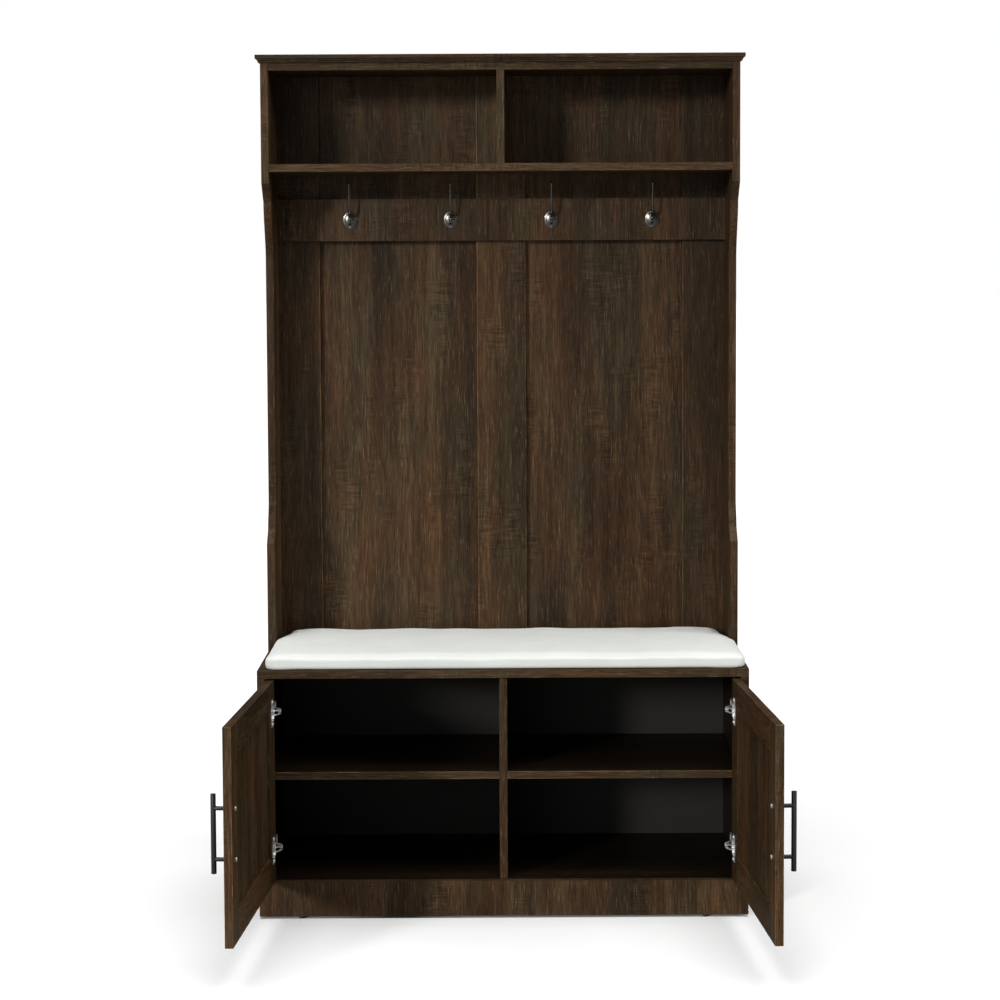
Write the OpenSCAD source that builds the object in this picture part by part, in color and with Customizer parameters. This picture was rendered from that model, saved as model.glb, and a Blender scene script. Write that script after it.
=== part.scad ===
// Hall tree with hooks: a bench with two doors under a tall back with coat hooks and two cubbies.
// Millimetres. +Z is up, -Y is the front, +X is to the right as seen from the front.
// The origin is on the floor at the centre of the footprint.
// Depths are counted from the bench's front plane towards the wall.

/* [Overall] */
// Width over the side panels
overall_w = 1000; // [960:1:1040]
// Depth of the bench, from its front plane to the wall
depth = 410; // [400:1:430]
// Height to the top of the cap
overall_h = 1770; // [1740:1:1800]
// Thickness of the boards
board_t = 16; // [15:0.5:17]
// Height of the round glides under the plinth
glide_h = 5; // [4:0.5:8]

/* [Bench] */
// Height of the seat board's top face
seat_z = 512; // [500:1:530]
// Height of the plinth board
plinth_h = 72; // [65:1:80]
// Height of the shelves' undersides above the floor
shelf_z = 284; // [260:1:310]

/* [Back] */
// Width of the outer back stiles
side_stile_w = 106; // [95:1:115]
// Width of the centre back stile
center_stile_w = 106; // [95:1:115]
// Thickness of the back stiles
stile_t = 12; // [10:0.5:13]
// Thickness of the sheets behind the stiles
back_t = 4; // [3:0.5:5]
// Height of the hook rail
rail_h = 90; // [80:1:95]
// Height of the hook rail's lower edge
rail_z = 1384; // [1380:1:1390]

/* [Cubbies] */
// Depth of the cubbies' front edge behind the bench front
cubby_front = 206; // [200:1:212]
// Height of the cubby shelf's underside
cubby_z = 1528; // [1520:1:1540]
// How far the cap stands out at the front and at the sides
cap_overhang = 10; // [8:1:16]

/* [Doors] */
// How far the doors stand open, in degrees
door_open = 94; // [90:1:98]
// Width of the door stiles
door_stile_w = 62; // [58:1:66]
// Width of the door rails
door_rail_w = 60; // [56:1:66]
// Thickness of the recessed door panel
door_panel_t = 6; // [5:0.5:7]
// Gap round each door
door_gap = 2; // [2:0.25:3]

/* [Handles] */
// Distance between the two handle posts
handle_pitch = 96; // [90:1:100]
// Length of the handle bar
handle_len = 150; // [140:1:160]
// Diameter of the handle bar
handle_d = 10; // [9:0.5:11]
// Distance from the door face to the bar's outer side
handle_reach = 30; // [28:1:34]

/* [Hooks] */
// Distance between neighbouring hooks
hook_pitch = 217.5; // [200:0.5:220]
// Height of the ball on the upper prong above the plate's centre
hook_rise = 76; // [70:1:80]

/* [Cushion] */
// Width of the cushion
cushion_w = 984; // [975:1:985]
// Thickness of the cushion
cushion_t = 26; // [22:1:32]
// How far the loose cushion lies to the right of the middle
cushion_shift = 4; // [0:0.5:5]

/* [Hidden] */
$fn = 48;

// Colours
wood = [0.23, 0.17, 0.12];
wood_inside = [0.18, 0.13, 0.10];
nickel = [0.80, 0.80, 0.78];
dark_metal = [0.14, 0.14, 0.14];
gunmetal = [0.36, 0.34, 0.32];
pale_wood = [0.78, 0.64, 0.45];
off_white = [0.90, 0.91, 0.89];

// Bench
half_w = overall_w / 2;
inner_x = half_w - board_t;
seat_under = seat_z - board_t;
bottom_z = glide_h + plinth_h - board_t;
cell_z = glide_h + plinth_h;
base_back_t = 3;
base_back_d = depth - 17;
groove_depth = 6;
groove_play = 0.1;
pin_play = 0.1;

// Back and cubbies
stile_d = depth - back_t - stile_t;
cap_z = overall_h - board_t;
sub_top_z = cap_z - board_t;
board_front = cubby_front + 1;
rail_d = stile_d - board_t;
sheet_gap = 0.4;

// Doors, drawn shut with the hinge edge at x = 0 and the front face at y = 0
door_w = inner_x - door_gap - 1.5;
door_z = cell_z + 2.5;
door_h = seat_under - 3.5 - door_z;
door_tongue = 7;
pivot_in = 2.5;

// Concealed hinges, with their curved links concentric with the door's axis
cup_d = 35;
cup_depth = 11.5;
cup_in = 22;
cup_wall = 0.8;
hinge_heights = [69, door_h - 63];
ring_in = 21;
ring_out = 28;
tongue_half = 3.3;
link_in = 3.6;
link_t = 1.5;
link_from = 12;
link_to = 97;
plate_depth = 37;
hinge_screw_pitch = 32;

// Handles
handle_in = 35;
handle_post_d = 8;
handle_screw_d = 4;

// Hooks
hook_z = rail_z + rail_h / 2;
hook_d = rail_d;
hook_plate_w = 30;
hook_plate_h = 38;
hook_plate_t = 3;
hook_arc = 26;
hook_arc_turn = 80;
hook_screw_rise = 14.5;

// Cushion
cushion_front = 3;
cushion_back = 374;
cushion_lift = 0.3;

// Joinery
cam_d = 15;
cam_len = 12.5;
cam_in = 34;
bolt_d = 7;
bolt_bite = 9;
dowel_d = 8;
dowel_bite = 10;
dowel_len = 30;
shelf_pin_d = 5;
shelf_pin_bite = 7;

base_cam_depths = [70, 340];
upper_cam_depths = [245, 365];
foot_cam_depths = [275, 365];
base_dowel_depths = [110, 300];
upper_dowel_depths = [275, 335];
foot_dowel_depths = [255, 320];

// Y of a point that lies d behind the bench's front plane
function behind(d) = d - depth / 2;

// Points of an arc in a plane, from angle a to angle b
function arc(c, r, a, b, n) = [
    for (i = [0:n]) [c[0] + r * cos(a + (b - a) * i / n), c[1] + r * sin(a + (b - a) * i / n)]
];

// A smooth curve from p to q that leaves p upwards and arrives at q upwards
function ease(p, q, n) = [
    for (i = [1:n - 1])
        let (u = i / n)
            [p[0] + (q[0] - p[0]) * (3 * u * u - 2 * u * u * u), p[1] + (q[1] - p[1]) * u]
];

// A board between two values of x, two depths behind the front and two heights
module slab(x, d, z) {
    translate([x[0], behind(d[0]), z[0]])
        cube([x[1] - x[0], d[1] - d[0], z[1] - z[0]]);
}

// A cylinder between two values along one axis, drawn from a centre point
module rod(axis, p, from, to, d) {
    turn = axis == "x" ? [0, 90, 0] : axis == "y" ? [-90, 0, 0] : [0, 0, 0];
    translate(p)
        rotate(turn)
            translate([0, 0, from])
                cylinder(h = to - from, d = d);
}

// ---- Joinery: every pin is drawn once, and the boards are bored with the same shapes ----

// Boards that end at the side panels: height of the board's middle, and its cam and dowel depths
function end_joints() = [
    [bottom_z + board_t / 2, base_cam_depths, base_dowel_depths],
    [cubby_z + board_t / 2, upper_cam_depths, upper_dowel_depths],
    [sub_top_z + board_t / 2, upper_cam_depths, upper_dowel_depths]
];

module cam_bolt_rods(play = 0) {
    d = bolt_d + 2 * play;
    for (s = [-1, 1]) {
        for (joint = end_joints())
            for (y = joint[1])
                rod("x", [s * inner_x, behind(y), joint[0]],
                    s > 0 ? -cam_in : -bolt_bite, s > 0 ? bolt_bite : cam_in, d);
        for (y = base_cam_depths)
            rod("z", [s * (half_w - board_t / 2), behind(y), seat_under], -cam_in, bolt_bite, d);
        for (y = foot_cam_depths)
            rod("z", [s * (half_w - board_t / 2), behind(y), seat_z], -bolt_bite, cam_in, d);
    }
}

module cam_discs(play = 0) {
    d = cam_d + 2 * play;
    for (s = [-1, 1]) {
        for (joint = end_joints())
            for (y = joint[1])
                rod("z", [s * (inner_x - cam_in), behind(y), joint[0] - board_t / 2], -play, cam_len, d);
        for (y = base_cam_depths)
            rod("x", [s * inner_x, behind(y), seat_under - cam_in],
                s > 0 ? -play : -cam_len, s > 0 ? cam_len : play, d);
        for (y = foot_cam_depths)
            rod("x", [s * inner_x, behind(y), seat_z + cam_in],
                s > 0 ? -play : -cam_len, s > 0 ? cam_len : play, d);
    }
}

module dowel_rods(play = 0) {
    d = dowel_d + 2 * play;
    long = dowel_len - dowel_bite;
    for (s = [-1, 1]) {
        for (joint = end_joints())
            for (y = joint[2])
                rod("x", [s * inner_x, behind(y), joint[0]],
                    s > 0 ? -long : -dowel_bite, s > 0 ? dowel_bite : long, d);
        for (y = base_dowel_depths)
            rod("z", [s * (half_w - board_t / 2), behind(y), seat_under], -long, dowel_bite, d);
        for (y = foot_dowel_depths)
            rod("z", [s * (half_w - board_t / 2), behind(y), seat_z], -dowel_bite, long, d);
        for (y = [board_t / 2, base_back_d - board_t / 2])
            rod("x", [s * inner_x, behind(y), glide_h + plinth_h / 2 - 4],
                s > 0 ? -long : -dowel_bite, s > 0 ? dowel_bite : long, d);
    }
    for (y = base_dowel_depths) {
        rod("z", [0, behind(y), seat_under], -long, dowel_bite, d);
        rod("z", [0, behind(y), cell_z], -dowel_bite, long, d);
    }
    for (y = upper_dowel_depths) {
        rod("z", [0, behind(y), cubby_z + board_t], -dowel_bite, long, d);
        rod("z", [0, behind(y), sub_top_z], -long, dowel_bite, d);
    }
}

module shelf_pin_rods(play = 0) {
    d = shelf_pin_d + 2 * play;
    z = shelf_z - shelf_pin_d / 2;
    for (s = [-1, 1])
        for (y = [60, 340]) {
            rod("x", [s * inner_x, behind(y), z], -shelf_pin_bite, shelf_pin_bite, d);
            rod("x", [s * board_t / 2, behind(y), z], -shelf_pin_bite, shelf_pin_bite, d);
        }
}

module bored() {
    difference() {
        children();
        cam_bolt_rods(pin_play);
        cam_discs(pin_play);
        dowel_rods(pin_play);
    }
}

module cam_locks() {
    color(nickel)
        difference() {
            cam_discs();
            cam_bolt_rods(pin_play);
        }
}

module cam_bolts() {
    color(nickel) cam_bolt_rods();
}

module wood_dowels() {
    color(pale_wood) dowel_rods();
}

module shelf_pins() {
    color(nickel) shelf_pin_rods();
}

// ---- Bench ----

module left_side_panel() {
    color(wood)
        bored()
            difference() {
                slab([-half_w, -inner_x], [0, depth], [glide_h, seat_under]);
                slab([-inner_x - groove_depth, -inner_x + 1],
                     [base_back_d - groove_play, base_back_d + base_back_t + groove_play],
                     [bottom_z, seat_under + 1]);
                shelf_pin_rods(pin_play);
                hinge_plate_screw_shanks(-1, pin_play);
            }
}

module right_side_panel() {
    mirror([1, 0, 0]) left_side_panel();
}

module bottom_panel() {
    color(wood) bored() slab([-inner_x, inner_x], [board_t, base_back_d], [bottom_z, cell_z]);
}

module front_plinth() {
    color(wood) bored() slab([-inner_x, inner_x], [0, board_t], [glide_h, cell_z]);
}

module rear_plinth() {
    color(wood)
        bored()
            slab([-inner_x, inner_x], [base_back_d - board_t, base_back_d], [glide_h, bottom_z]);
}

module center_plinth() {
    color(wood)
        slab([-board_t / 2, board_t / 2], [board_t, base_back_d - board_t], [glide_h, bottom_z]);
}

module seat_board() {
    color(wood) bored() slab([-half_w, half_w], [0, depth], [seat_under, seat_z]);
}

module center_divider() {
    color(wood)
        bored()
            difference() {
                slab([-board_t / 2, board_t / 2], [board_t + 2, base_back_d], [cell_z, seat_under]);
                shelf_pin_rods(pin_play);
            }
}

module left_shelf() {
    color(wood)
        slab([-inner_x + 0.5, -board_t / 2 - 0.5], [board_t + 2, base_back_d - 1],
             [shelf_z, shelf_z + board_t]);
}

module right_shelf() {
    mirror([1, 0, 0]) left_shelf();
}

module base_back_panel() {
    color(wood_inside)
        slab([-inner_x - groove_depth + 0.5, inner_x + groove_depth - 0.5],
             [base_back_d, base_back_d + base_back_t], [bottom_z, seat_under]);
}

module floor_glides() {
    color(dark_metal) {
        for (x = [-413, 413])
            for (d = [board_t / 2, base_back_d - board_t / 2])
                rod("z", [x, behind(d), 0], 0, glide_h, 12);
        rod("z", [0, 0, 0], 0, glide_h, 12);
    }
}

// ---- Upper part ----

// Outline of an upper side panel: depth behind the bench front, height
function side_outline() =
    let (
        foot = 236,
        narrow = 283,
        foot_top = 744,
        chamfer = 28,
        waist_from = 830,
        waist_to = 1345,
        step = [245, 1466],
        head = [cubby_front, 1504]
    )
    concat(
        [[stile_d, seat_z], [foot, seat_z], [foot, foot_top], [foot + chamfer, foot_top + chamfer]],
        ease([foot + chamfer, foot_top + chamfer], [narrow, waist_from], 8),
        [[narrow, waist_from], [narrow, waist_to]],
        ease([narrow, waist_to], step, 12),
        [step, head, [cubby_front, cap_z], [stile_d, cap_z]]
    );

module upper_left_side() {
    color(wood)
        bored()
            translate([-half_w, -depth / 2, 0])
                rotate([90, 0, 90])
                    linear_extrude(height = board_t)
                        polygon(side_outline());
}

module upper_right_side() {
    mirror([1, 0, 0]) upper_left_side();
}

// Section of the cap's moulding: a thin lip over a cove, as distance out and height
function cap_section(out) =
    let (lip = 8, foot = 4, cove = cap_overhang - foot)
    concat(
        [[0, 0], [out - cove, 0]],
        arc([out, 0], cove, 180, 126, 8),
        [[out - 3, lip], [out, lip], [out, board_t], [0, board_t]]
    );

// The cap's full section from side to side, from its right half
function cap_across(out) =
    let (half = cap_section(out), n = len(half))
    concat(
        [for (i = [1:n - 2]) half[i]],
        [for (i = [n - 2:-1:1]) [-half[i][0], half[i][1]]]
    );

module top_cap() {
    reach = half_w + cap_overhang;
    front = cubby_front - cap_overhang;
    color(wood)
        translate([0, 0, cap_z])
            intersection() {
                // The moulding along the front
                translate([-reach - 1, behind(depth), 0])
                    rotate([90, 0, 90])
                        mirror([1, 0, 0])
                            linear_extrude(height = 2 * reach + 2)
                                polygon(cap_section(depth - front));
                // The moulding down both sides
                translate([0, behind(depth) + 1, 0])
                    rotate([90, 0, 0])
                        linear_extrude(height = depth - front + 2)
                            polygon(cap_across(reach));
            }
}

module sub_top() {
    color(wood) bored() slab([-inner_x, inner_x], [board_front, stile_d], [sub_top_z, cap_z]);
}

module cubby_shelf() {
    color(wood)
        bored() slab([-inner_x, inner_x], [board_front, stile_d], [cubby_z, cubby_z + board_t]);
}

module cubby_divider() {
    color(wood)
        bored()
            slab([-board_t / 2, board_t / 2], [board_front + 1, stile_d],
                 [cubby_z + board_t, sub_top_z]);
}

module back_stile(x0, x1) {
    color(wood) slab([x0, x1], [stile_d, stile_d + stile_t], [seat_z, cap_z]);
}

module back_stile_left() {
    back_stile(-half_w, -half_w + side_stile_w);
}

module back_stile_center() {
    back_stile(-center_stile_w / 2, center_stile_w / 2);
}

module back_stile_right() {
    back_stile(half_w - side_stile_w, half_w);
}

module back_panel_left() {
    color(wood)
        slab([-half_w, -sheet_gap / 2], [stile_d + stile_t, depth], [seat_z, cap_z]);
}

module back_panel_right() {
    mirror([1, 0, 0]) back_panel_left();
}

module hook_rail() {
    color(wood)
        difference() {
            slab([-inner_x, inner_x], [rail_d, stile_d], [rail_z, rail_z + rail_h]);
            for (i = [0:3]) at_hook(i) hook_screw_shanks(pin_play);
        }
}

// ---- Coat hooks: drawn at the plate's centre, with +Y out of the rail ----

module at_hook(i) {
    translate([(i - 1.5) * hook_pitch, behind(hook_d), hook_z])
        rotate([0, 0, 180])
            children();
}

module hook_screw_shanks(play = 0) {
    for (s = [-1, 1])
        rod("y", [0, 0, s * hook_screw_rise], -12, hook_plate_t - 1, 3.5 + 2 * play);
}

// A bent round bar in the plane x = 0, round a centre given as distance out and height
module bent_bar(c, r, from, turn, d) {
    translate([0, c[0], c[1]])
        rotate([90, 0, 90])
            rotate([0, 0, from])
                rotate_extrude(angle = turn)
                    translate([r, 0])
                        circle(d = d);
}

module hook() {
    bar_d = 5;
    ball_d = 8;
    knuckle_d = 5.8;
    start_z = 7.5;
    arc_end = hook_arc_turn - 90;
    end = [hook_arc * cos(arc_end), start_z + hook_arc * (1 + sin(arc_end))];
    rise = hook_rise - end[1];
    tip = [end[0] + rise / tan(hook_arc_turn), hook_rise];
    low_z = -8;
    low_out = 9;
    low_r = 9.5;
    low_turn = 95;
    low_end = [low_out + low_r * sin(low_turn), low_z + low_r * (1 - cos(low_turn))];
    difference() {
        union() {
            rotate([90, 0, 180])
                linear_extrude(height = hook_plate_t)
                    polygon([for (a = [0:10:350])
                        [hook_plate_w / 2 * cos(a), hook_plate_h / 2 * sin(a)]]);
            // Upper prong: a bend, a tapered arm and a ball
            bent_bar([1, start_z + hook_arc], hook_arc, -90, hook_arc_turn, bar_d);
            translate([0, 1 + end[0], end[1]]) sphere(d = knuckle_d);
            translate([0, 1 + end[0], end[1]])
                rotate([hook_arc_turn - 90, 0, 0])
                    cylinder(h = rise / sin(hook_arc_turn), d1 = bar_d, d2 = 4);
            translate([0, 1 + tip[0], tip[1]]) sphere(d = ball_d);
            // Lower prong: a root, a bend and a ball
            rod("y", [0, 0, low_z], 1, low_out, bar_d);
            translate([0, low_out, low_z]) sphere(d = knuckle_d);
            bent_bar([low_out, low_z + low_r], low_r, -90, low_turn, bar_d);
            translate([0, low_end[0], low_end[1]]) sphere(d = ball_d);
        }
        hook_screw_shanks(pin_play);
        // Seats for the screw heads
        for (s = [-1, 1])
            rod("y", [0, 0, s * hook_screw_rise], hook_plate_t - 1, hook_plate_t + 0.6, 6.4);
    }
}

module hook_1() {
    color(gunmetal) at_hook(0) hook();
}

module hook_2() {
    color(gunmetal) at_hook(1) hook();
}

module hook_3() {
    color(gunmetal) at_hook(2) hook();
}

module hook_4() {
    color(gunmetal) at_hook(3) hook();
}

module hook_screws() {
    color(gunmetal)
        for (i = [0:3])
            at_hook(i) {
                hook_screw_shanks();
                for (s = [-1, 1])
                    rod("y", [0, 0, s * hook_screw_rise], hook_plate_t - 1, hook_plate_t + 0.4, 6);
            }
}

// ---- Doors ----

// Puts a door that is drawn shut at its place, at the angle that it stands open
module left_door() {
    axis = [-inner_x + door_gap + pivot_in, behind(pivot_in), 0];
    translate(axis)
        rotate([0, 0, -door_open])
            translate([-pivot_in, -pivot_in, door_z])
                children();
}

module right_door() {
    mirror([1, 0, 0]) left_door() children();
}

module door_board(x, z) {
    translate([x[0], 0, z[0]]) cube([x[1] - x[0], board_t, z[1] - z[0]]);
}

// The panel with its tongues, and with play the groove that holds them
module panel_blank(play = 0) {
    edge = door_tongue + (play > 0 ? 1 : 0);
    thick = door_panel_t + 2 * play;
    translate([door_stile_w - edge, (board_t - thick) / 2, door_rail_w - edge])
        cube([door_w - 2 * door_stile_w + 2 * edge, thick, door_h - 2 * door_rail_w + 2 * edge]);
}

module hinge_stile() {
    color(wood)
        difference() {
            door_board([0, door_stile_w], [0, door_h]);
            panel_blank(groove_play);
            for (z = hinge_heights) {
                rod("y", [cup_in, 0, z], board_t - cup_depth, board_t + 1, cup_d + 2 * pin_play);
                cup_screw_rods(z, pin_play);
            }
        }
}

module pull_stile() {
    color(wood)
        difference() {
            door_board([door_w - door_stile_w, door_w], [0, door_h]);
            panel_blank(groove_play);
            for (s = [-1, 1])
                rod("y", [door_w - handle_in, 0, door_h / 2 + s * handle_pitch / 2],
                    -1, board_t + 1, handle_screw_d + 0.6);
        }
}

module door_rail(z) {
    color(wood)
        difference() {
            door_board([door_stile_w, door_w - door_stile_w], [z, z + door_rail_w]);
            panel_blank(groove_play);
        }
}

module door_panel() {
    color(wood) panel_blank();
}

// Hinge cup: a pressed steel cup with a flange and two screw wings
module hinge_cups() {
    flange_t = 1.2;
    color(nickel)
        for (z = hinge_heights)
            difference() {
                union() {
                    rod("y", [cup_in, 0, z], board_t - cup_depth, board_t + flange_t, cup_d);
                    translate([cup_in - 17, board_t, z - 12]) cube([36, flange_t, 24]);
                    translate([cup_in - 2, board_t, z - 27.5]) cube([16, flange_t, 55]);
                }
                rod("y", [cup_in, 0, z], board_t - cup_depth + cup_wall, board_t + 2, cup_d - 2 * cup_wall);
                cup_screw_rods(z, pin_play);
            }
}

module cup_screw_rods(z, play = 0) {
    for (s = [-1, 1])
        rod("y", [cup_in + 6, 0, z + 22.5 * s], board_t - 11, board_t + 1.2, 3.5 + 2 * play);
}

module hinge_cup_screws() {
    color(nickel)
        for (z = hinge_heights) {
            cup_screw_rods(z);
            for (s = [-1, 1])
                rod("y", [cup_in + 6, 0, z + 22.5 * s], board_t + 1.2, board_t + 3, 6.5);
        }
}

// A flat ring sector round the door's axis, drawn in the closed door's plan
module ring_sector(r_in, r_out, from, to, z0, z1) {
    translate([pivot_in, pivot_in, z0])
        rotate([0, 0, from])
            rotate_extrude(angle = to - from)
                translate([r_in, 0])
                    square([r_out - r_in, z1 - z0]);
}

// The links: two curved plates on a cross pin in the cup
module hinge_links() {
    pin = [pivot_in + 17, pivot_in + 7];
    color(nickel)
        for (z = hinge_heights) {
            for (s = [-1, 1]) {
                z0 = s > 0 ? z + link_in : z - link_in - link_t;
                union() {
                    ring_sector(ring_in + 0.5, ring_out - 0.5, link_from, link_to, z0, z0 + link_t);
                    ring_sector(ring_in - 5, ring_out - 0.5, link_from, link_from + 24, z0, z0 + link_t);
                }
            }
            rod("z", [pin[0], pin[1], z], -link_in, link_in, 2.5);
        }
}

module handle_bar() {
    color(dark_metal)
        difference() {
            rod("z", [door_w - handle_in, handle_d / 2 - handle_reach, door_h / 2],
                -handle_len / 2, handle_len / 2, handle_d);
            handle_post_rods(0.02);
        }
}

module handle_post_rods(play = 0) {
    for (s = [-1, 1])
        rod("y", [door_w - handle_in, 0, door_h / 2 + s * handle_pitch / 2],
            handle_d / 2 - handle_reach, 0, handle_post_d + 2 * play);
}

module handle_screw_rods(play = 0) {
    for (s = [-1, 1])
        rod("y", [door_w - handle_in, 0, door_h / 2 + s * handle_pitch / 2],
            -10, board_t, handle_screw_d + 2 * play);
}

module handle_posts() {
    color(dark_metal)
        difference() {
            handle_post_rods();
            handle_screw_rods(0.05);
        }
}

module handle_screws() {
    color(nickel) {
        handle_screw_rods();
        for (s = [-1, 1])
            rod("y", [door_w - handle_in, 0, door_h / 2 + s * handle_pitch / 2],
                board_t, board_t + 2.4, 8.5);
    }
}

module left_door_hinge_stile() { left_door() hinge_stile(); }
module left_door_pull_stile() { left_door() pull_stile(); }
module left_door_top_rail() { left_door() door_rail(door_h - door_rail_w); }
module left_door_bottom_rail() { left_door() door_rail(0); }
module left_door_panel() { left_door() door_panel(); }
module left_hinge_cups() { left_door() hinge_cups(); }
module left_hinge_links() { left_door() hinge_links(); }
module left_hinge_cup_screws() { left_door() hinge_cup_screws(); }
module left_handle_bar() { left_door() handle_bar(); }
module left_handle_posts() { left_door() handle_posts(); }
module left_handle_screws() { left_door() handle_screws(); }
module right_door_hinge_stile() { right_door() hinge_stile(); }
module right_door_pull_stile() { right_door() pull_stile(); }
module right_door_top_rail() { right_door() door_rail(door_h - door_rail_w); }
module right_door_bottom_rail() { right_door() door_rail(0); }
module right_door_panel() { right_door() door_panel(); }
module right_hinge_cups() { right_door() hinge_cups(); }
module right_hinge_links() { right_door() hinge_links(); }
module right_hinge_cup_screws() { right_door() hinge_cup_screws(); }
module right_handle_bar() { right_door() handle_bar(); }
module right_handle_posts() { right_door() handle_posts(); }
module right_handle_screws() { right_door() handle_screws(); }

// ---- The cabinet's half of the hinges ----

// Places one hinge's fixed half on the left, with its origin where a shut door's corner is
module at_left_hinge(z) {
    translate([-inner_x + door_gap, behind(0), door_z + z]) children();
}

module hinge_arm() {
    // The tongue stays clear of the cup's floor when the door is shut
    intersection() {
        ring_sector(ring_in, ring_out, 4, 84, -tongue_half, tongue_half);
        translate([-10, pivot_in + 3.6, -tongue_half]) cube([60, 60, 2 * tongue_half]);
    }
    translate([1, 24, -tongue_half]) cube([9.5, 12, 2 * tongue_half]);
    difference() {
        translate([1, 33, -8]) cube([12, 44, 16]);
        translate([3, 50, -5.5]) cube([12, 24, 11]);
    }
}

module hinge_arms() {
    color(nickel)
        for (s = [0, 1])
            mirror([s, 0, 0])
                for (z = hinge_heights)
                    at_left_hinge(z) hinge_arm();
}

module hinge_plate_screw_shanks(side, play = 0) {
    for (z = hinge_heights)
        for (s = [-1, 1])
            rod("x", [side * (inner_x - 3), behind(plate_depth), door_z + z + s * hinge_screw_pitch / 2],
                side > 0 ? 0 : -14, side > 0 ? 14 : 0, 3.6 + 2 * play);
}

module hinge_plates() {
    color(nickel)
        difference() {
            for (s = [-1, 1])
                for (z = hinge_heights)
                    translate([s * inner_x, behind(plate_depth), door_z + z])
                        mirror([s > 0 ? 1 : 0, 0, 0]) {
                            translate([0, -6.5, -22]) cube([3, 14.5, 44]);
                            translate([0, -6.5, -7]) cube([3, 40.5, 14]);
                        }
            for (s = [-1, 1]) hinge_plate_screw_shanks(s, pin_play);
        }
}

module hinge_plate_screws() {
    color(nickel)
        for (side = [-1, 1]) {
            hinge_plate_screw_shanks(side);
            for (z = hinge_heights)
                for (s = [-1, 1])
                    rod("x", [side * (inner_x - 3), behind(plate_depth),
                              door_z + z + s * hinge_screw_pitch / 2],
                        side > 0 ? -2.2 : 0, side > 0 ? 0 : 2.2, 7);
        }
}

// ---- Cushion ----

// Half of the outline, from the front middle round to the back middle, about the cushion's own middle
function cushion_half() =
    let (
        w = cushion_w / 2,
        front_r = 22,
        taper_from = 225,
        back_in = 46,
        back_r = 26
    )
    concat(
        arc([w - front_r, cushion_front + front_r], front_r, -90, 0, 6),
        [[w, taper_from]],
        ease([w, taper_from], [w - back_in + 6, cushion_back - back_r], 6),
        arc([w - back_in - back_r + 6, cushion_back - back_r], back_r, 0, 90, 6)
    );

module cushion() {
    half = cushion_half();
    n = len(half);
    left = [for (i = [n - 1:-1:0]) [-half[i][0], half[i][1]]];
    foot_clear = 0.6;
    color(off_white)
        difference() {
            translate([cushion_shift, -depth / 2, seat_z + cushion_lift])
                linear_extrude(height = cushion_t)
                    polygon(concat(half, left));
            // The upper side panels' feet press the loose pad in
            for (s = [-1, 1])
                slab(s > 0 ? [inner_x - foot_clear, half_w + 1] : [-half_w - 1, -inner_x + foot_clear],
                     [236 - foot_clear, depth], [seat_z - 1, seat_z + 200]);
        }
}

left_side_panel();
right_side_panel();
bottom_panel();
front_plinth();
rear_plinth();
center_plinth();
seat_board();
center_divider();
left_shelf();
right_shelf();
base_back_panel();
upper_left_side();
upper_right_side();
top_cap();
sub_top();
cubby_shelf();
cubby_divider();
back_stile_left();
back_stile_center();
back_stile_right();
back_panel_left();
back_panel_right();
hook_rail();
hook_1();
hook_2();
hook_3();
hook_4();
hook_screws();
hinge_arms();
hinge_plates();
hinge_plate_screws();
floor_glides();
cam_locks();
cam_bolts();
wood_dowels();
shelf_pins();
cushion();
left_door_hinge_stile();
left_door_pull_stile();
left_door_top_rail();
left_door_bottom_rail();
left_door_panel();
left_hinge_cups();
left_hinge_links();
left_hinge_cup_screws();
left_handle_bar();
left_handle_posts();
left_handle_screws();
right_door_hinge_stile();
right_door_pull_stile();
right_door_top_rail();
right_door_bottom_rail();
right_door_panel();
right_hinge_cups();
right_hinge_links();
right_hinge_cup_screws();
right_handle_bar();
right_handle_posts();
right_handle_screws();
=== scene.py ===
"""Looks of the hall tree: materials, a soft cushion, cast coat hooks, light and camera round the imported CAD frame.

Everything is in metres in the CAD frame: +Z is up, -Y is the front, +X is to the right.
"""

import math

import bmesh
import bpy
import numpy as np
from mathutils import Euler, Matrix, Vector


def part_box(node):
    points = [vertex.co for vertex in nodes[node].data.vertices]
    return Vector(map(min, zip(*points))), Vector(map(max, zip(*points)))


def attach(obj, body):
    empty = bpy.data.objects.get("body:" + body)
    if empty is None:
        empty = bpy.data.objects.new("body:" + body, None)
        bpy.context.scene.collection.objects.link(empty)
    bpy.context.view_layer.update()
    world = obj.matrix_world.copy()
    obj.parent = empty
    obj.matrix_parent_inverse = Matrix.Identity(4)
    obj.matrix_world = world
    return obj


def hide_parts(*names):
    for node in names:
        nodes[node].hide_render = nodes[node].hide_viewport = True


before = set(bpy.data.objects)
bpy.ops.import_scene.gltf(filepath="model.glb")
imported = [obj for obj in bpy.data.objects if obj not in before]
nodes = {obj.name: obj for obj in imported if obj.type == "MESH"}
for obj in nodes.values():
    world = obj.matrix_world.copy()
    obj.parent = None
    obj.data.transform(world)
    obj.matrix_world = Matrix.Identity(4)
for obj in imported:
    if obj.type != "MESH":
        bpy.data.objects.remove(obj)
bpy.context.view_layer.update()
MM = 0.001


# ---- Camera ----

CAMERA_PLACE = (0.0, -4.963, 1.358)
CAMERA_PITCH = 4.05
CAMERA_ROLL = -0.27
CAMERA_LENS = 85.2
CAMERA_SHIFT = (-0.0018, -0.08)


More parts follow.
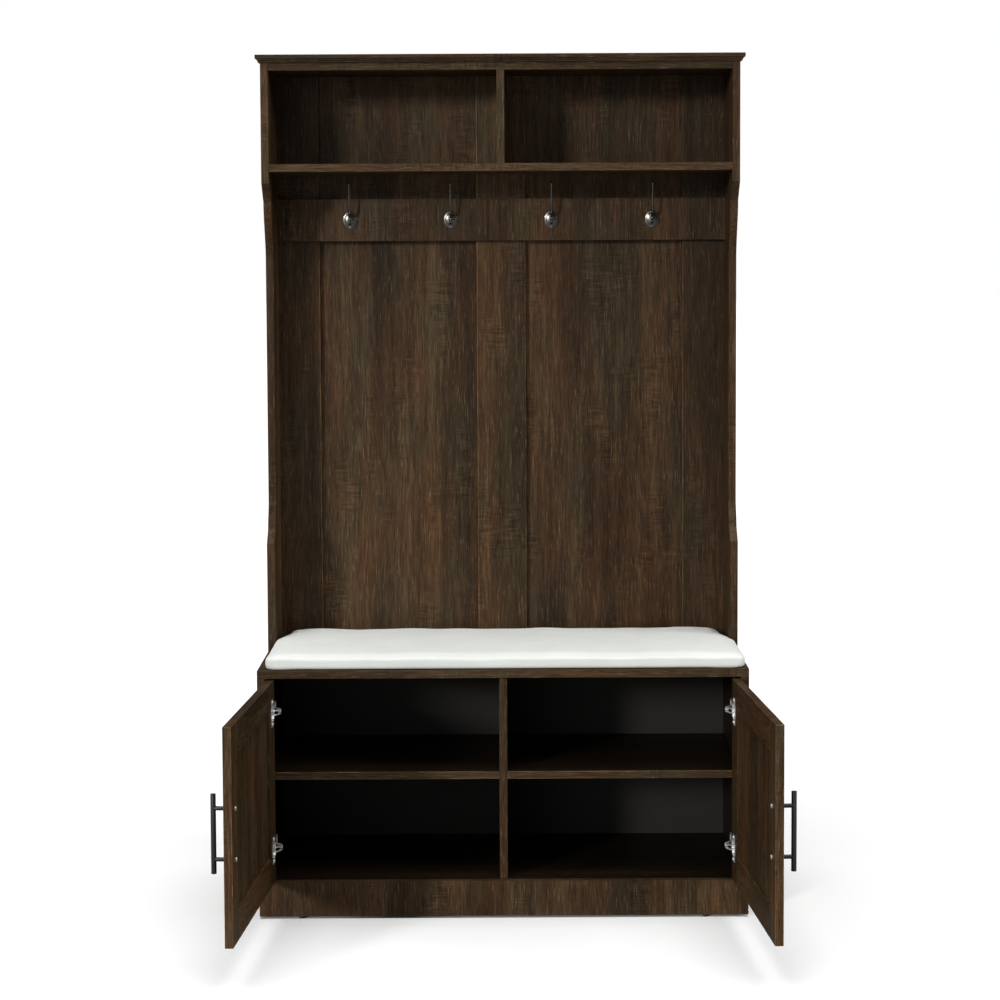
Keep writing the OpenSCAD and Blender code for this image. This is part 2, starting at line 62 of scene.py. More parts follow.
def add_camera():
    data = bpy.data.cameras.new("camera")
    data.lens = CAMERA_LENS
    data.sensor_width = 36.0
    data.shift_x, data.shift_y = CAMERA_SHIFT
    data.clip_end = 200.0
    camera = bpy.data.objects.new("camera", data)
    level = Euler((math.radians(90.0 - CAMERA_PITCH), 0.0, 0.0)).to_matrix()
    turn = Matrix.Rotation(math.radians(CAMERA_ROLL), 3, "Z")
    camera.matrix_world = Matrix.Translation(CAMERA_PLACE) @ (level @ turn).to_4x4()
    bpy.context.scene.collection.objects.link(camera)
    bpy.context.scene.camera = camera


# ---- Node helpers ----


class Graph:
    """A short way to write node trees: every call adds one node and returns its first output."""

    def __init__(self, tree):
        self.tree = tree

    def add(self, kind, inputs=None, out=0, **settings):
        node = self.tree.nodes.new(kind)
        for key, value in settings.items():
            setattr(node, key, value)
        for key, value in (inputs or {}).items():
            if isinstance(value, bpy.types.NodeSocket):
                self.tree.links.new(value, node.inputs[key])
            else:
                node.inputs[key].default_value = value
        return node.outputs[out]

    def math(self, operation, a, b=0.0, clamp=False):
        return self.add("ShaderNodeMath", {0: a, 1: b}, operation=operation, use_clamp=clamp)

    def noise(self, vector, scale=1.0, detail=2.0, roughness=0.5):
        inputs = {"Vector": vector, "Scale": scale, "Detail": detail, "Roughness": roughness}
        return self.add("ShaderNodeTexNoise", inputs)

    def stretch(self, vector, scale):
        return self.add("ShaderNodeMapping", {"Vector": vector, "Scale": scale})

    def remap(self, value, low, high, to_low=0.0, to_high=1.0):
        inputs = {0: value, 1: low, 2: high, 3: to_low, 4: to_high}
        return self.add("ShaderNodeMapRange", inputs)

    def mix(self, factor, a, b, blend="MIX"):
        node = self.tree.nodes.new("ShaderNodeMix")
        node.data_type = "RGBA"
        node.blend_type = blend
        for index, value in ((0, factor), (6, a), (7, b)):
            if isinstance(value, bpy.types.NodeSocket):
                self.tree.links.new(value, node.inputs[index])
            else:
                node.inputs[index].default_value = value
        return node.outputs[2]

    def ramp(self, value, stops):
        node = self.tree.nodes.new("ShaderNodeValToRGB")
        elements = node.color_ramp.elements
        for index, (place, colour) in enumerate(stops):
            element = elements[index] if index < 2 else elements.new(place)
            element.position = place
            element.color = (*colour, 1.0)
        self.tree.links.new(value, node.inputs[0])
        return node.outputs[0]

    def bump(self, height, strength, distance):
        return self.add("ShaderNodeBump", {"Height": height, "Strength": strength, "Distance": distance})


def new_material(name):
    material = bpy.data.materials.new(name)
    material.use_nodes = True
    shader = material.node_tree.nodes["Principled BSDF"]
    return material, Graph(material.node_tree), shader


def connect(graph, socket, target):
    graph.tree.links.new(socket, target)


# ---- Wood ----

DARK_OAK = ((0.36, (0.018, 0.0092, 0.0036)), (0.50, (0.045, 0.0250, 0.0105)), (0.64, (0.092, 0.0560, 0.0265)))
GRAIN_TURN = {"x": (0.0, 0.0, 0.0), "y": (0.0, 0.0, math.pi / 2), "z": (0.0, math.pi / 2, 0.0)}


def make_oak_group():
    """Sawn dark oak: X of the vector runs along the grain. Gives colour, roughness and height."""
    tree = bpy.data.node_groups.new("sawn_dark_oak", "ShaderNodeTree")
    tree.interface.new_socket("Vector", in_out="INPUT", socket_type="NodeSocketVector")
    tree.interface.new_socket("Color", in_out="OUTPUT", socket_type="NodeSocketColor")
    tree.interface.new_socket("Roughness", in_out="OUTPUT", socket_type="NodeSocketFloat")
    tree.interface.new_socket("Height", in_out="OUTPUT", socket_type="NodeSocketFloat")
    g = Graph(tree)
    source = tree.nodes.new("NodeGroupInput").outputs[0]

    # The grain wanders a little from side to side
    wander = g.add("ShaderNodeTexNoise", {"Vector": source, "Scale": 2.2, "Detail": 1.0}, out=1)
    wander = g.add("ShaderNodeVectorMath", {0: wander, 1: (0.5, 0.5, 0.5)}, operation="SUBTRACT")
    wander = g.add("ShaderNodeVectorMath", {0: wander, 1: (0.0, 0.014, 0.014)}, operation="MULTIPLY")
    vector = g.add("ShaderNodeVectorMath", {0: source, 1: wander}, operation="ADD")

    broad = g.noise(g.stretch(vector, (1.2, 11.0, 11.0)), detail=2.0)
    bands = g.noise(g.stretch(vector, (3.0, 55.0, 55.0)), detail=2.0, roughness=0.6)
    streaks = g.noise(g.stretch(vector, (17.0, 340.0, 340.0)), detail=3.0, roughness=0.7)
    tone = g.math("MULTIPLY", broad, 0.30)
    tone = g.math("ADD", tone, g.math("MULTIPLY", bands, 0.24))
    tone = g.math("ADD", tone, g.math("MULTIPLY", streaks, 0.46))

    # Fine saw marks run across the grain, in patches
    marks = g.noise(g.stretch(source, (250.0, 34.0, 34.0)), detail=1.0)
    patches = g.remap(g.noise(g.stretch(source, (7.0, 17.0, 17.0)), detail=1.0), 0.52, 0.66)
    saw = g.math("MULTIPLY", g.math("SUBTRACT", marks, 0.5), patches)
    tone = g.math("ADD", tone, g.math("MULTIPLY", saw, 0.30))
    colour = g.ramp(tone, DARK_OAK)

    # Redder and greyer stretches
    hue = g.remap(g.noise(g.stretch(source, (4.0, 15.0, 15.0)), detail=2.0), 0.36, 0.64)
    tint = g.mix(hue, (0.88, 1.00, 1.04, 1.0), (1.15, 0.98, 0.90, 1.0))
    colour = g.mix(1.0, colour, tint, "MULTIPLY")

    # Open pores are short dark dashes, and rays catch the light as short pale ones
    dashes = g.noise(g.stretch(vector, (34.0, 620.0, 620.0)), detail=1.0)
    pores = g.remap(dashes, 0.60, 0.72)
    colour = g.mix(g.math("MULTIPLY", pores, 0.6), colour, (0.008, 0.005, 0.003, 1.0))
    rays = g.remap(dashes, 0.36, 0.26)
    colour = g.mix(g.math("MULTIPLY", rays, 0.5), colour, (0.17, 0.12, 0.07, 1.0))

    roughness = g.math("ADD", g.math("MULTIPLY", streaks, 0.22), 0.36)
    height = g.math("SUBTRACT", g.math("ADD", streaks, g.math("MULTIPLY", saw, 1.2)), pores)
    outputs = tree.nodes.new("NodeGroupOutput")
    for index, socket in enumerate((colour, roughness, height)):
        connect(g, socket, outputs.inputs[index])
    return tree


def oak(name, grain, seed, shade=1.0, turn=0.0, shaded_side=None, arris=2.8):
    """A board's own cut of the oak, in the CAD frame.

    turn is for a board that stands at an angle in plan, in degrees.
    The direction argument after turn picks the faces that look that way: they are painted darker, a painted shade
    for the dim inside of the cells.
    arris is how much lighter the rounded edges are painted, a painted highlight where a board's edge would catch the
    light.
    """
    material, g, shader = new_material(name)
    coords = g.add("ShaderNodeTexCoord", out=3)
    if turn:
        coords = g.add("ShaderNodeMapping", {"Vector": coords, "Rotation": (0.0, 0.0, math.radians(turn))})
    shift = (0.731 * seed, 0.417 * seed, 0.253 * seed)
    coords = g.add("ShaderNodeMapping",
                   {"Vector": coords, "Location": shift, "Rotation": GRAIN_TURN[grain]})
    group = material.node_tree.nodes.new("ShaderNodeGroup")
    group.node_tree = bpy.data.node_groups["sawn_dark_oak"]
    connect(g, coords, group.inputs[0])
    colour = g.mix(1.0, group.outputs[0], (shade, shade, shade, 1.0), "MULTIPLY")
    # Painted shade: faces that look the given way are darkened, as the inside of a cell is dim
    if shaded_side:
        normal = g.add("ShaderNodeTexCoord", out=1)
        looks = g.add("ShaderNodeVectorMath", {0: normal, 1: shaded_side}, out=1, operation="DOT_PRODUCT")
        looks = g.remap(looks, 0.5, 0.9)
        painted_shade = g.mix(1.0, colour, (PAINTED_CELL_SHADE, PAINTED_CELL_SHADE, PAINTED_CELL_SHADE, 1.0), "MULTIPLY")
        colour = g.mix(looks, colour, painted_shade)
    if arris > 1.0:
        # Painted highlight: rounded arrises, the faces that look along none of the three axes, are painted lighter
        # as if catching the light
        facing = g.add("ShaderNodeVectorMath", {0: g.add("ShaderNodeTexCoord", out=1)}, operation="ABSOLUTE")
        parts = material.node_tree.nodes.new("ShaderNodeSeparateXYZ")
        connect(g, facing, parts.inputs[0])
        most = g.math("MAXIMUM", g.math("MAXIMUM", parts.outputs[0], parts.outputs[1]), parts.outputs[2])
        painted_edge_highlight = g.mix(1.0, colour, (arris, arris, arris, 1.0), "MULTIPLY")
        colour = g.mix(g.remap(most, 0.985, 0.90), colour, painted_edge_highlight)
    connect(g, colour, shader.inputs["Base Color"])
    connect(g, group.outputs[1], shader.inputs["Roughness"])
    connect(g, g.bump(group.outputs[2], 0.35, 0.0005), shader.inputs["Normal"])
    shader.inputs["Specular IOR Level"].default_value = 0.14
    return material


# ---- Metals, plastic and fabric ----


def metal(name, colour, low, high, metallic=1.0, grain=(90.0, 90.0, 90.0), depth=0.00006):
    """Metal whose polish and tone vary softly, with a fine surface texture."""
    material, g, shader = new_material(name)
    coords = g.add("ShaderNodeTexCoord", out=3)
    cloud = g.noise(coords, scale=46.0, detail=4.0)
    fine = g.noise(g.stretch(coords, grain), scale=14.0, detail=2.0)
    wear = g.math("ADD", g.math("MULTIPLY", cloud, 0.6), g.math("MULTIPLY", fine, 0.4))
    dark = tuple(c * 0.78 for c in colour)
    light = tuple(min(1.0, c * 1.12) for c in colour)
    connect(g, g.ramp(wear, ((0.3, dark), (0.7, light))), shader.inputs["Base Color"])
    connect(g, g.remap(wear, 0.3, 0.7, low, high), shader.inputs["Roughness"])
    connect(g, g.bump(fine, 0.4, depth), shader.inputs["Normal"])
    shader.inputs["Metallic"].default_value = metallic
    return material


def beech(name):
    material, g, shader = new_material(name)
    coords = g.add("ShaderNodeTexCoord", out=3)
    flecks = g.noise(g.stretch(coords, (60.0, 300.0, 300.0)), detail=2.0)
    connect(g, g.ramp(flecks, ((0.35, (0.42, 0.27, 0.14)), (0.65, (0.62, 0.45, 0.27)))),
            shader.inputs["Base Color"])
    connect(g, g.remap(flecks, 0.3, 0.7, 0.55, 0.7), shader.inputs["Roughness"])
    return material


def hardboard(name):
    """Thin dark printed board behind the cabinet, made darker still as painted shade for the dim back of the cells.
    """
    material, g, shader = new_material(name)
    coords = g.add("ShaderNodeTexCoord", out=3)
    speckle = g.noise(coords, scale=420.0, detail=3.0)
    # Painted shade: the colour is darker than the board's own tone, for the dim back of the cells
    connect(g, g.ramp(speckle, ((0.35, (0.006, 0.0045, 0.0032)), (0.7, (0.013, 0.0095, 0.007)))),
            shader.inputs["Base Color"])
    connect(g, g.remap(speckle, 0.3, 0.7, 0.6, 0.8), shader.inputs["Roughness"])
    connect(g, g.bump(speckle, 0.3, 0.0002), shader.inputs["Normal"])
    return material


def moulded_plastic(name):
    material, g, shader = new_material(name)
    coords = g.add("ShaderNodeTexCoord", out=3)
    pits = g.noise(coords, scale=900.0, detail=2.0)
    connect(g, g.ramp(pits, ((0.3, (0.010, 0.010, 0.010)), (0.7, (0.022, 0.022, 0.022)))),
            shader.inputs["Base Color"])
    connect(g, g.remap(pits, 0.3, 0.7, 0.5, 0.65), shader.inputs["Roughness"])
    connect(g, g.bump(pits, 0.3, 0.0001), shader.inputs["Normal"])
    return material


THREAD = 1.1 * MM


def linen(name):
    """Off-white woven cover: crossing threads, slubs and soft mottling."""
    material, g, shader = new_material(name)
    coords = g.add("ShaderNodeTexCoord", out=3)
    sway = g.add("ShaderNodeTexNoise", {"Vector": coords, "Scale": 30.0, "Detail": 2.0}, out=1)
    sway = g.add("ShaderNodeVectorMath", {0: sway, 1: (0.0012, 0.0012, 0.0012)}, operation="MULTIPLY")
    bent = g.add("ShaderNodeVectorMath", {0: coords, 1: sway}, operation="ADD")
    axes = bpy.types.NodeSocket
    split = material.node_tree.nodes.new("ShaderNodeSeparateXYZ")
    connect(g, bent, split.inputs[0])
    waves = [g.math("SINE", g.math("MULTIPLY", split.outputs[i], 2 * math.pi / THREAD)) for i in range(3)]
    weave = g.math("ADD", g.math("MULTIPLY", waves[0], waves[1]), g.math("MULTIPLY", waves[0], waves[2]))
    weave = g.math("ADD", weave, g.math("MULTIPLY", waves[1], waves[2]))
    slubs = g.noise(g.stretch(coords, (40.0, 700.0, 700.0)), detail=2.0)
    height = g.math("ADD", g.math("MULTIPLY", weave, 0.35), slubs)
    mottle = g.noise(coords, scale=9.0, detail=3.0)
    tone = g.math("ADD", g.math("MULTIPLY", mottle, 0.6), g.math("MULTIPLY", slubs, 0.4))
    tone = g.math("ADD", tone, g.math("MULTIPLY", weave, 0.02))
    connect(g, g.ramp(tone, ((0.30, (0.68, 0.70, 0.665)), (0.70, (0.76, 0.775, 0.74)))),
            shader.inputs["Base Color"])
    connect(g, g.remap(slubs, 0.3, 0.7, 0.82, 0.95), shader.inputs["Roughness"])
    connect(g, g.bump(height, 0.5, 0.0004), shader.inputs["Normal"])
    shader.inputs["Sheen Weight"].default_value = 0.25
    shader.inputs["Specular IOR Level"].default_value = 0.2
    return material


# ---- CAD nodes: softened edges and materials ----


def soften(name, width, segments=2):
    """Rounds a CAD node's sharp edges with modifiers, as a board's arrises or a pressed edge are."""
    piece = nodes[name]
    weld = piece.modifiers.new("weld", "WELD")
    weld.merge_threshold = 0.00001
    bevel = piece.modifiers.new("arris", "BEVEL")
    bevel.width = width
    bevel.segments = segments
    bevel.limit_method = "ANGLE"
    bevel.angle_limit = math.radians(35.0)
    bevel.harden_normals = False


def paint(name, material):
    piece = nodes[name]
    if not piece.material_slots:
        piece.data.materials.append(material)
    for material_slot in piece.material_slots:
        material_slot.material = material


# Boards of the cabinet: name, grain direction, shade. The outer back stiles' low shade is painted shade where the
# side panels keep the light off them, on top of their own darker tone.
BOARDS = (
    ("left_side_panel", "z", 1.0), ("right_side_panel", "z", 1.0), ("bottom_panel", "x", 1.0),
    ("front_plinth", "z", 1.05), ("rear_plinth", "x", 1.0), ("center_plinth", "y", 1.0),
    ("seat_board", "x", 1.05), ("center_divider", "z", 1.05), ("left_shelf", "x", 1.1),
    ("right_shelf", "x", 1.1), ("upper_left_side", "z", 1.0), ("upper_right_side", "z", 0.95),
    ("top_cap", "x", 1.0), ("sub_top", "x", 1.0), ("cubby_shelf", "x", 1.1),
    ("cubby_divider", "z", 1.05), ("back_stile_left", "z", 0.78), ("back_stile_center", "z", 1.12),
    ("back_stile_right", "z", 0.78), ("back_panel_left", "z", 1.05), ("back_panel_right", "z", 1.0),
    ("hook_rail", "z", 1.0),
)
CURVED = ("upper_left_side", "upper_right_side", "top_cap")
# Faces inside the cells are painted darker than the outside and the front edges: painted shade for the dim inside of
# the cells
PAINTED_CELL_SHADE = 0.22
CELL_SHADE_SIDES = {
    "left_side_panel": (1.0, 0.0, 0.0), "right_side_panel": (-1.0, 0.0, 0.0),
    "bottom_panel": (0.0, 0.0, 1.0), "left_shelf": (0.0, 0.0, 1.0), "right_shelf": (0.0, 0.0, 1.0),
    "seat_board": (0.0, 0.0, -1.0),
}
DOOR_OPEN = 94.0
DOOR_BOARDS = (
    ("door_hinge_stile", "z"), ("door_pull_stile", "z"),
    ("door_top_rail", "y"), ("door_bottom_rail", "y"), ("door_panel", "z"),
)


def dress_wood():
    for seed, (name, grain, shade) in enumerate(BOARDS, start=1):
        soften(name, 1.4 * MM)
        # Boards with curved faces get no painted edge highlight
        arris = 1.0 if name in CURVED else 2.8
        paint(name, oak("oak_" + name, grain, seed, shade, shaded_side=CELL_SHADE_SIDES.get(name), arris=arris))
    for side, turn in (("left", DOOR_OPEN - 90.0), ("right", 90.0 - DOOR_OPEN)):
        for index, (part, grain) in enumerate(DOOR_BOARDS):
            name = f"{side}_{part}"
            seed = 30 + index + (10 if side == "right" else 0)
            soften(name, 0.9 * MM)
            paint(name, oak("oak_" + name, grain, seed, 1.0, turn))


def dress_hardware():
    nickel = metal("bright_nickel", (0.80, 0.79, 0.77), 0.25, 0.40, metallic=0.7)
    black = metal("satin_black", (0.022, 0.022, 0.022), 0.30, 0.42, metallic=0.0)
    bronze = metal("antique_nickel", (0.21, 0.20, 0.185), 0.20, 0.34)
    zinc = metal("cast_zinc", (0.55, 0.55, 0.55), 0.40, 0.55)
    for name in ("hinge_arms", "hinge_plates", "hinge_plate_screws", "shelf_pins"):
        soften(name, 0.3 * MM)
        paint(name, nickel)
    for side in ("left", "right"):
        for part in ("hinge_cups", "hinge_links", "hinge_cup_screws", "handle_screws"):
            soften(f"{side}_{part}", 0.25 * MM)
            paint(f"{side}_{part}", nickel)
        for part in ("handle_bar", "handle_posts"):
            soften(f"{side}_{part}", 0.6 * MM, 3)
            paint(f"{side}_{part}", black)
    paint("cam_bolts", zinc)
    paint("cam_locks", metal("brown_cam", (0.050, 0.034, 0.022), 0.45, 0.60, metallic=0.2))
    paint("hook_screws", bronze)
    soften("hook_screws", 0.4 * MM)
    paint("wood_dowels", beech("raw_beech"))
    paint("base_back_panel", hardboard("printed_hardboard"))
    paint("floor_glides", moulded_plastic("black_plastic"))
    soften("floor_glides", 0.5 * MM)
    return bronze


# ---- Mesh helpers ----


def new_piece(name, mesh, material, body):
    piece = bpy.data.objects.new(name, mesh)
    bpy.context.scene.collection.objects.link(piece)
    mesh.materials.clear()
    mesh.materials.append(material)
    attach(piece, body)
    return piece


def ring(build, centre, u, v, ru, rv, count):
    """A closed ring of vertices round a centre, in the plane of u and v."""
    turn = 2 * math.pi / count
    return [build.verts.new(centre + u * (ru * math.cos(i * turn)) + v * (rv * math.sin(i * turn)))
            for i in range(count)]


def bridge(build, a, b):
    count = len(a)
    for i in range(count):
        j = (i + 1) % count
        build.faces.new((a[i], a[j], b[j], b[i]))


def cap(build, loop, point, flip=False):
    tip = build.verts.new(point)
    count = len(loop)
    for i in range(count):
        j = (i + 1) % count
        build.faces.new((loop[j], loop[i], tip) if flip else (loop[i], loop[j], tip))


def swept(build, path, radii, count=16):
    """A round bar along a path in the plane x = 0, closed by points at both ends."""
    side = Vector((1.0, 0.0, 0.0))
    loops = []
    for i, point in enumerate(path):
        ahead = path[min(i + 1, len(path) - 1)] - path[max(i - 1, 0)]
        normal = side.cross(ahead.normalized())
        loops.append(ring(build, point, side, normal, radii[i], radii[i], count))
    for a, b in zip(loops, loops[1:]):
        bridge(build, a, b)
    cap(build, loops[0], path[0], True)
    cap(build, loops[-1], path[-1])


def smooth_mesh(build, name):
    bmesh.ops.recalc_face_normals(build, faces=build.faces)
    mesh = bpy.data.meshes.new(name)
    build.to_mesh(mesh)
    build.free()
    mesh.shade_smooth()
    return mesh


# ---- Coat hooks ----

# A hook's plan, in metres from the plate's centre: out of the rail, and up
PLATE_HALF = (15.0 * MM, 19.0 * MM)
# Dome of the plate: share of the radius, height off the rail
PLATE_DOME = ((1.0, 0.0), (1.0, 0.9), (0.975, 1.6), (0.93, 2.0), (0.87, 2.0), (0.82, 2.2),
              (0.70, 3.3), (0.55, 4.3), (0.38, 5.0), (0.18, 5.4))
BEND_R = 26.0 * MM
BEND_TURN = 80.0
UPPER_START = (1.0 * MM, 7.5 * MM)
UPPER_TOP = 76.0 * MM
LOWER_START = -8.0 * MM
LOWER_OUT = 9.0 * MM
LOWER_R = 9.5 * MM
LOWER_TURN = 95.0
BALL_R = 4.0 * MM


def hook_point(out, up):
    return Vector((0.0, -out, up))


def upper_path():
    """The long prong: a quarter bend, then a straight taper that leans out to the ball."""
    path = []
    for i in range(13):
        a = math.radians(-90.0 + BEND_TURN * i / 12)
        path.append((UPPER_START[0] + BEND_R * math.cos(a), UPPER_START[1] + BEND_R * (1 + math.sin(a))))
    out, up = path[-1]
    lean = 1 / math.tan(math.radians(BEND_TURN))
    for i in range(1, 11):
        rise = (UPPER_TOP - up) * i / 10
        path.append((out + rise * lean, up + rise))
    return path


def lower_path():
    """The short prong: a root out of the plate and a tight bend up to its ball."""
    path = [(1.0 * MM, LOWER_START), (5.0 * MM, LOWER_START)]
    for i in range(13):
        a = math.radians(-90.0 + LOWER_TURN * i / 12)
        path.append((LOWER_OUT + LOWER_R * math.cos(a), LOWER_START + LOWER_R * (1 + math.sin(a))))
    return path


def add_ball(build, centre, radius):
    made = bmesh.ops.create_uvsphere(build, u_segments=20, v_segments=12, radius=radius)
    bmesh.ops.translate(build, verts=made["verts"], vec=centre)


def hook_mesh(name):
    build = bmesh.new()
    x, z = Vector((1.0, 0.0, 0.0)), Vector((0.0, 0.0, 1.0))
    loops = [ring(build, hook_point(height * MM, 0.0), x, z,
                  PLATE_HALF[0] * share, PLATE_HALF[1] * share, 40) for share, height in PLATE_DOME]
    for a, b in zip(loops, loops[1:]):
        bridge(build, a, b)
    cap(build, loops[0], hook_point(0.0, 0.0), True)
    cap(build, loops[-1], hook_point(PLATE_DOME[-1][1] * MM, 0.0))
    for path, thick, thin in ((upper_path(), 2.9, 1.9), (lower_path(), 2.6, 2.1)):
        last = len(path) - 1
        # A collar where the prong leaves the plate, then an even taper
        radii = [(thick + (thin - thick) * i / last + 1.3 * math.exp(-i / 1.6)) * MM for i in range(last + 1)]
        points = [hook_point(*p) for p in path]
        swept(build, points, radii)
        add_ball(build, points[-1], BALL_R)
    return smooth_mesh(build, name)


def add_hooks(material):
    mesh = hook_mesh("coat_hook")
    for i in range(1, 5):
        low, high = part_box(f"hook_{i}")
        piece = new_piece(f"coat_hook_{i}", mesh.copy(), material, "cabinet")
        # The CAD plate is centred in x, and its lower edge is the node's lowest point
        place = Vector(((low.x + high.x) / 2, high.y, low.z + PLATE_HALF[1]))
        piece.matrix_world = Matrix.Translation(place)
        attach(piece, "cabinet")
        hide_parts(f"hook_{i}")


# ---- Cushion ----

CUSHION_INSET = -3.0 * MM
CUSHION_VOXEL = 6.0 * MM
CUSHION_SWELL = 7.0 * MM
FOOT_FRONT = 31.0 * MM
FOOT_INNER = 484.0 * MM
FOOT_CLEAR = 1.0 * MM
TAPER_FROM = 20.0 * MM
BACK_IN = 31.0 * MM
BACK_R = 26.0 * MM
FRONT_R = 22.0 * MM


def arc_points(cx, cy, radius, start, end, count):
    return [(cx + radius * math.cos(math.radians(start + (end - start) * i / count)),
             cy + radius * math.sin(math.radians(start + (end - start) * i / count)))
            for i in range(count + 1)]


def ease_points(p, q, count):
    """A smooth curve that leaves p and reaches q along +Y."""
    made = []
    for i in range(1, count):
        u = i / count
        made.append((p[0] + (q[0] - p[0]) * (3 * u * u - 2 * u ** 3), p[1] + (q[1] - p[1]) * u))
    return made


def cushion_outline(low, high, inset):
    """The pad's outline seen from above: square at the front, drawn in towards the back corners."""
    half = (high.x - low.x) / 2 - inset
    front, back = low.y + inset, high.y - inset
    bend = half - BACK_IN + 6.0 * MM
    right = arc_points(half - FRONT_R, front + FRONT_R, FRONT_R, -90.0, 0.0, 8)
    right += [(half, TAPER_FROM)]
    right += ease_points((half, TAPER_FROM), (bend, back - BACK_R), 8)
    right += arc_points(bend - BACK_R, back - BACK_R, BACK_R, 0.0, 90.0, 8)
    return right + [(-x, y) for x, y in reversed(right)]


def cushion_blank(low, high):
    """A flat closed slab inside the CAD cushion, for the cloth simulation to fill."""
    build = bmesh.new()
    middle = (low.x + high.x) / 2
    outline = cushion_outline(low, high, CUSHION_INSET)
    bottom = [build.verts.new((middle + x, y, low.z + 1.0 * MM)) for x, y in outline]
    top = [build.verts.new((middle + x, y, high.z - 2.0 * MM)) for x, y in outline]
    build.faces.new(list(reversed(bottom)))
    build.faces.new(top)
    bridge(build, bottom, top)
    return smooth_mesh(build, "cushion_cover")


def apply_modifiers(piece):
    graph = bpy.context.evaluated_depsgraph_get()
    mesh = bpy.data.meshes.new_from_object(piece.evaluated_get(graph))
    piece.modifiers.clear()
    old = piece.data
    piece.data = mesh
    bpy.data.meshes.remove(old)


def coordinates(mesh):
    co = np.zeros(len(mesh.vertices) * 3)
    mesh.vertices.foreach_get("co", co)
    return co.reshape(-1, 3)


def inflate(piece):
    """Fills the pad like foam in a sewn cover, and caps how far any point may move."""
    rest = coordinates(piece.data)
    cloth = piece.modifiers.new("cloth", "CLOTH")
    cloth.settings.use_pressure = True
    cloth.settings.uniform_pressure_force = 4.0
    cloth.settings.effector_weights.gravity = 0.0
    cloth.settings.quality = 4
    cloth.collision_settings.use_collision = False
    scene = bpy.context.scene
    for step in range(1, 21):
        scene.frame_set(step)
    graph = bpy.context.evaluated_depsgraph_get()
    moved = coordinates(piece.evaluated_get(graph).data)
    piece.modifiers.clear()
    scene.frame_set(1)
    shift = moved - rest
    length = np.linalg.norm(shift, axis=1, keepdims=True)
    shift *= np.minimum(1.0, CUSHION_SWELL / np.maximum(length, 1e-9))
    piece.data.vertices.foreach_set("co", (rest + shift).ravel())


def settle(piece, low, high):
    """Lays the pad flat on the seat and keeps it clear of the side panels' feet."""
    co = coordinates(piece.data)
    # Foam never fills a cover quite evenly, so its upper side waves a little
    x, y = co[:, 0] - low.x, co[:, 1] - low.y
    wave = np.sin(23.0 * x + 0.7) + 0.7 * np.sin(41.0 * x + 9.0 * y) + 0.5 * np.sin(67.0 * x - 17.0 * y)
    share = np.clip((co[:, 2] - low.z) / (high.z - low.z), 0.0, 1.0)
    co[:, 2] += 0.7 * MM * wave * share
    front = np.exp(-y / (30.0 * MM))
    co[:, 1] -= 0.9 * MM * np.sin(19.0 * x + 2.0) * front * share
    co[:, 2] = np.maximum(co[:, 2], low.z)
    beside = co[:, 1] > FOOT_FRONT - FOOT_CLEAR
    limit = FOOT_INNER - FOOT_CLEAR
    co[beside, 0] = np.clip(co[beside, 0], -limit, limit)
    co[:, 0] = np.clip(co[:, 0], low.x - 3.0 * MM, high.x + 3.0 * MM)
    piece.data.vertices.foreach_set("co", co.ravel())
    piece.data.update()


def add_cushion(material):
    low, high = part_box("cushion")
    cover = new_piece("seat_cushion", cushion_blank(low, high), material, "cushion")
    remesh = cover.modifiers.new("remesh", "REMESH")
    remesh.mode = "VOXEL"
    remesh.voxel_size = CUSHION_VOXEL
    apply_modifiers(cover)
    inflate(cover)
    settle(cover, low, high)
    cover.data.shade_smooth()
    finer = cover.modifiers.new("finer", "SUBSURF")
    finer.levels = 1
    finer.render_levels = 1
    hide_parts("cushion")


# ---- Floor, light and world ----


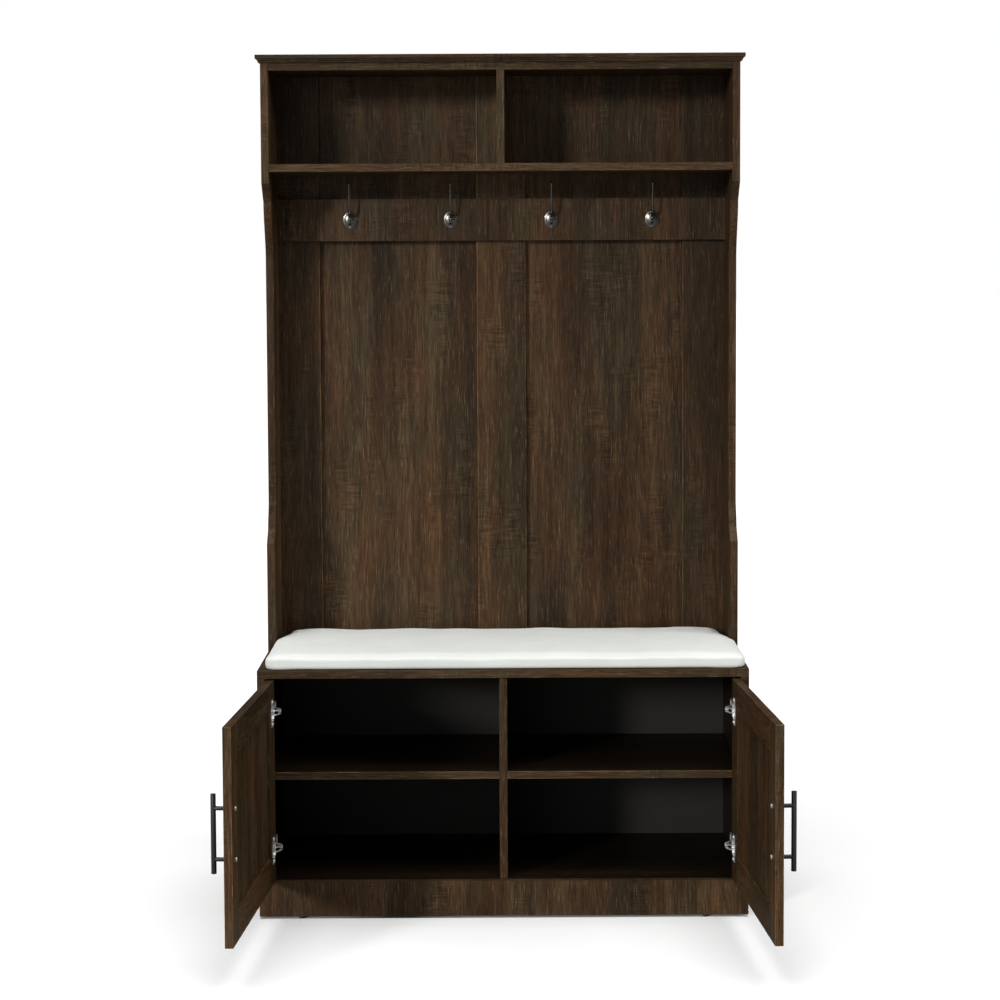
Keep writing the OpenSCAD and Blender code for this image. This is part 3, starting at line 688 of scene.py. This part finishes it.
def add_floor():
    material, g, shader = new_material("pale_floor")
    coords = g.add("ShaderNodeTexCoord", out=3)
    cloud = g.noise(coords, scale=0.6, detail=2.0)
    pale = g.ramp(cloud, ((0.3, (0.96, 0.96, 0.96)), (0.7, (0.98, 0.98, 0.98))))
    # The floor looks white, but throws less light up than a white floor would
    seen = g.add("ShaderNodeLightPath")
    mirrored = g.add("ShaderNodeLightPath", out=3)
    bounce = g.mix(mirrored, (0.35, 0.35, 0.35, 1.0), (0.16, 0.16, 0.16, 1.0))
    connect(g, g.mix(seen, bounce, pale), shader.inputs["Base Color"])
    shader.inputs["Roughness"].default_value = 0.9
    shader.inputs["Specular IOR Level"].default_value = 0.1
    build = bmesh.new()
    bmesh.ops.create_grid(build, x_segments=1, y_segments=1, size=60.0)
    floor = bpy.data.objects.new("floor", smooth_mesh(build, "floor"))
    floor.data.materials.append(material)
    bpy.context.scene.collection.objects.link(floor)


def add_sun(name, strength, elevation, azimuth, size):
    """A soft far light. Azimuth is measured from the front towards the left, in degrees."""
    data = bpy.data.lights.new(name, "SUN")
    data.energy = strength
    data.angle = math.radians(size)
    lamp = bpy.data.objects.new(name, data)
    e, a = math.radians(elevation), math.radians(azimuth)
    away = Vector((-math.sin(a) * math.cos(e), -math.cos(a) * math.cos(e), math.sin(e)))
    lamp.rotation_mode = "QUATERNION"
    lamp.rotation_quaternion = away.to_track_quat("Z", "Y")
    bpy.context.scene.collection.objects.link(lamp)


def add_world(ambient):
    world = bpy.data.worlds.new("studio")
    world.use_nodes = True
    tree = world.node_tree
    background = tree.nodes["Background"]
    g = Graph(tree)
    seen = g.add("ShaderNodeLightPath")
    mirrored = g.add("ShaderNodeLightPath", out=3)
    strength = g.remap(mirrored, 0.0, 1.0, ambient, 0.4 * ambient)
    connect(g, g.math("MAXIMUM", strength, seen), background.inputs["Strength"])
    background.inputs["Color"].default_value = (1.0, 1.0, 1.0, 1.0)
    bpy.context.scene.world = world


add_camera()
make_oak_group()
dress_wood()
hook_metal = dress_hardware()
add_hooks(hook_metal)
add_cushion(linen("woven_linen"))
add_floor()
add_world(0.20)
add_sun("key_light", 1.62, 13.0, 36.0, 9.0)
add_sun("front_fill", 0.24, 4.0, 14.0, 30.0)
add_sun("right_fill", 1.15, 16.0, -70.0, 16.0)
add_sun("top_light", 2.65, 80.0, 0.0, 60.0)
scene = bpy.context.scene
scene.view_settings.view_transform = "Standard"
scene.view_settings.look = "None"
